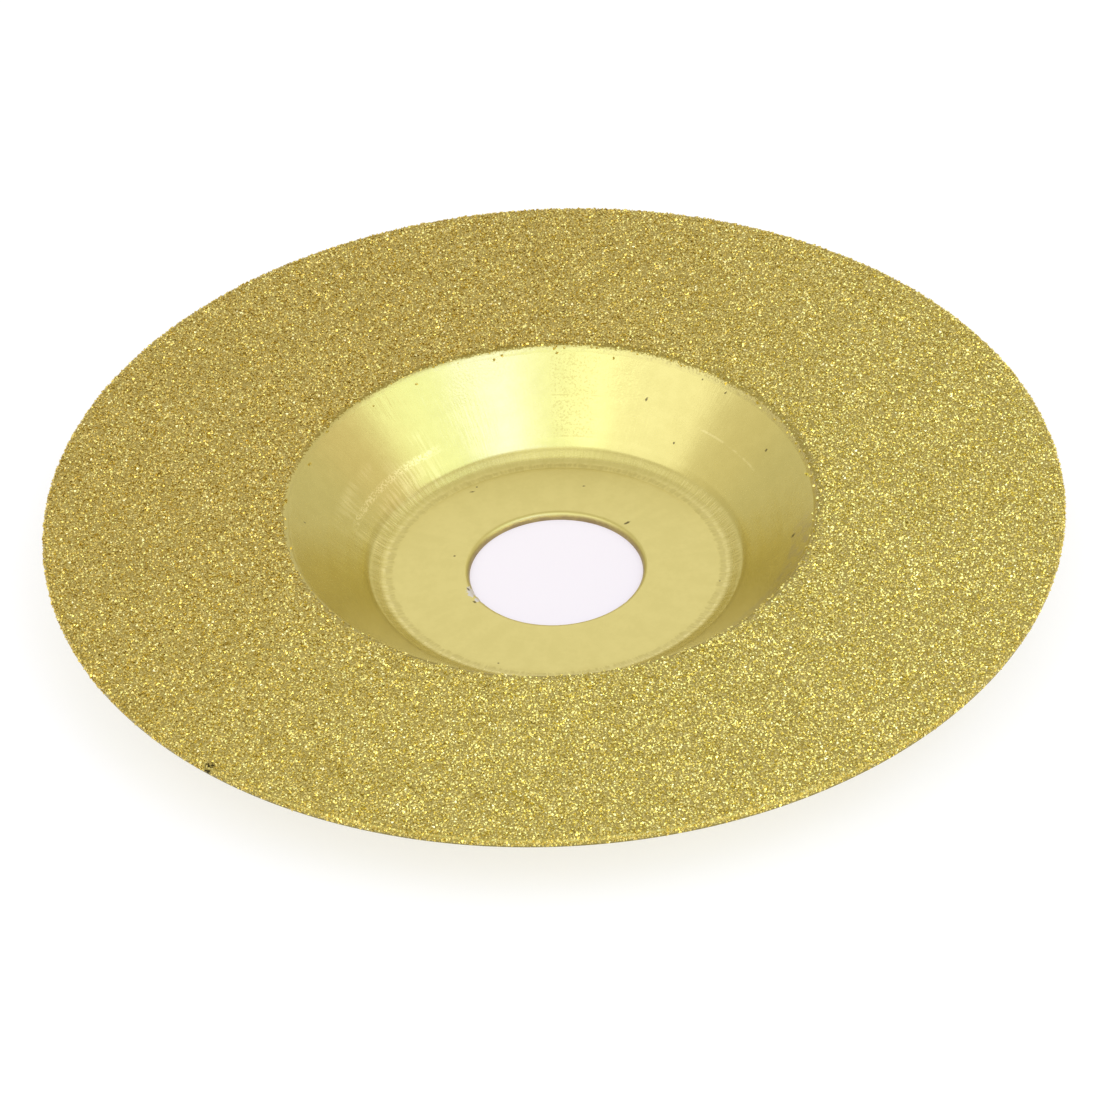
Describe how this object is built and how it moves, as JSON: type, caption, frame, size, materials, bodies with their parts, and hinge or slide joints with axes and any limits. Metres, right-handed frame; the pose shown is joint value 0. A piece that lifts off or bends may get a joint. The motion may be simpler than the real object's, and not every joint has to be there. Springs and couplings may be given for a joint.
{
  "type": "diamond grinding disc",
  "caption": "Dished sheet-metal grinding disc with a recessed bored hub, a sloping cone and a flat outer ring coated in gold-tone diamond grit.",
  "frame": {"origin": "centre of the bore at the hub's back face, which is the lowest face", "axes": "+Z along the spin axis, from the hub's back towards the abrasive side; X and Y are any two directions across the disc, which is the same all round"},
  "size_m": [0.1, 0.1, 0.009],
  "materials": {
    "gold_steel": "pressed sheet steel with a thin gold-tone titanium finish, satin, with fine forming rings on the cone",
    "nickel_bond": "electroplated nickel under a gold-tone finish, matte, pinkish grey where it thins out at its inner edge",
    "diamond_grit": "coarse gold-tinted diamond grains, sharp and glittering"
  },
  "bodies": {
    "root": {"steel_body": "gold_steel", "nickel_bond": "nickel_bond", "diamond_grit": "diamond_grit"}
  },
  "joints": []
}
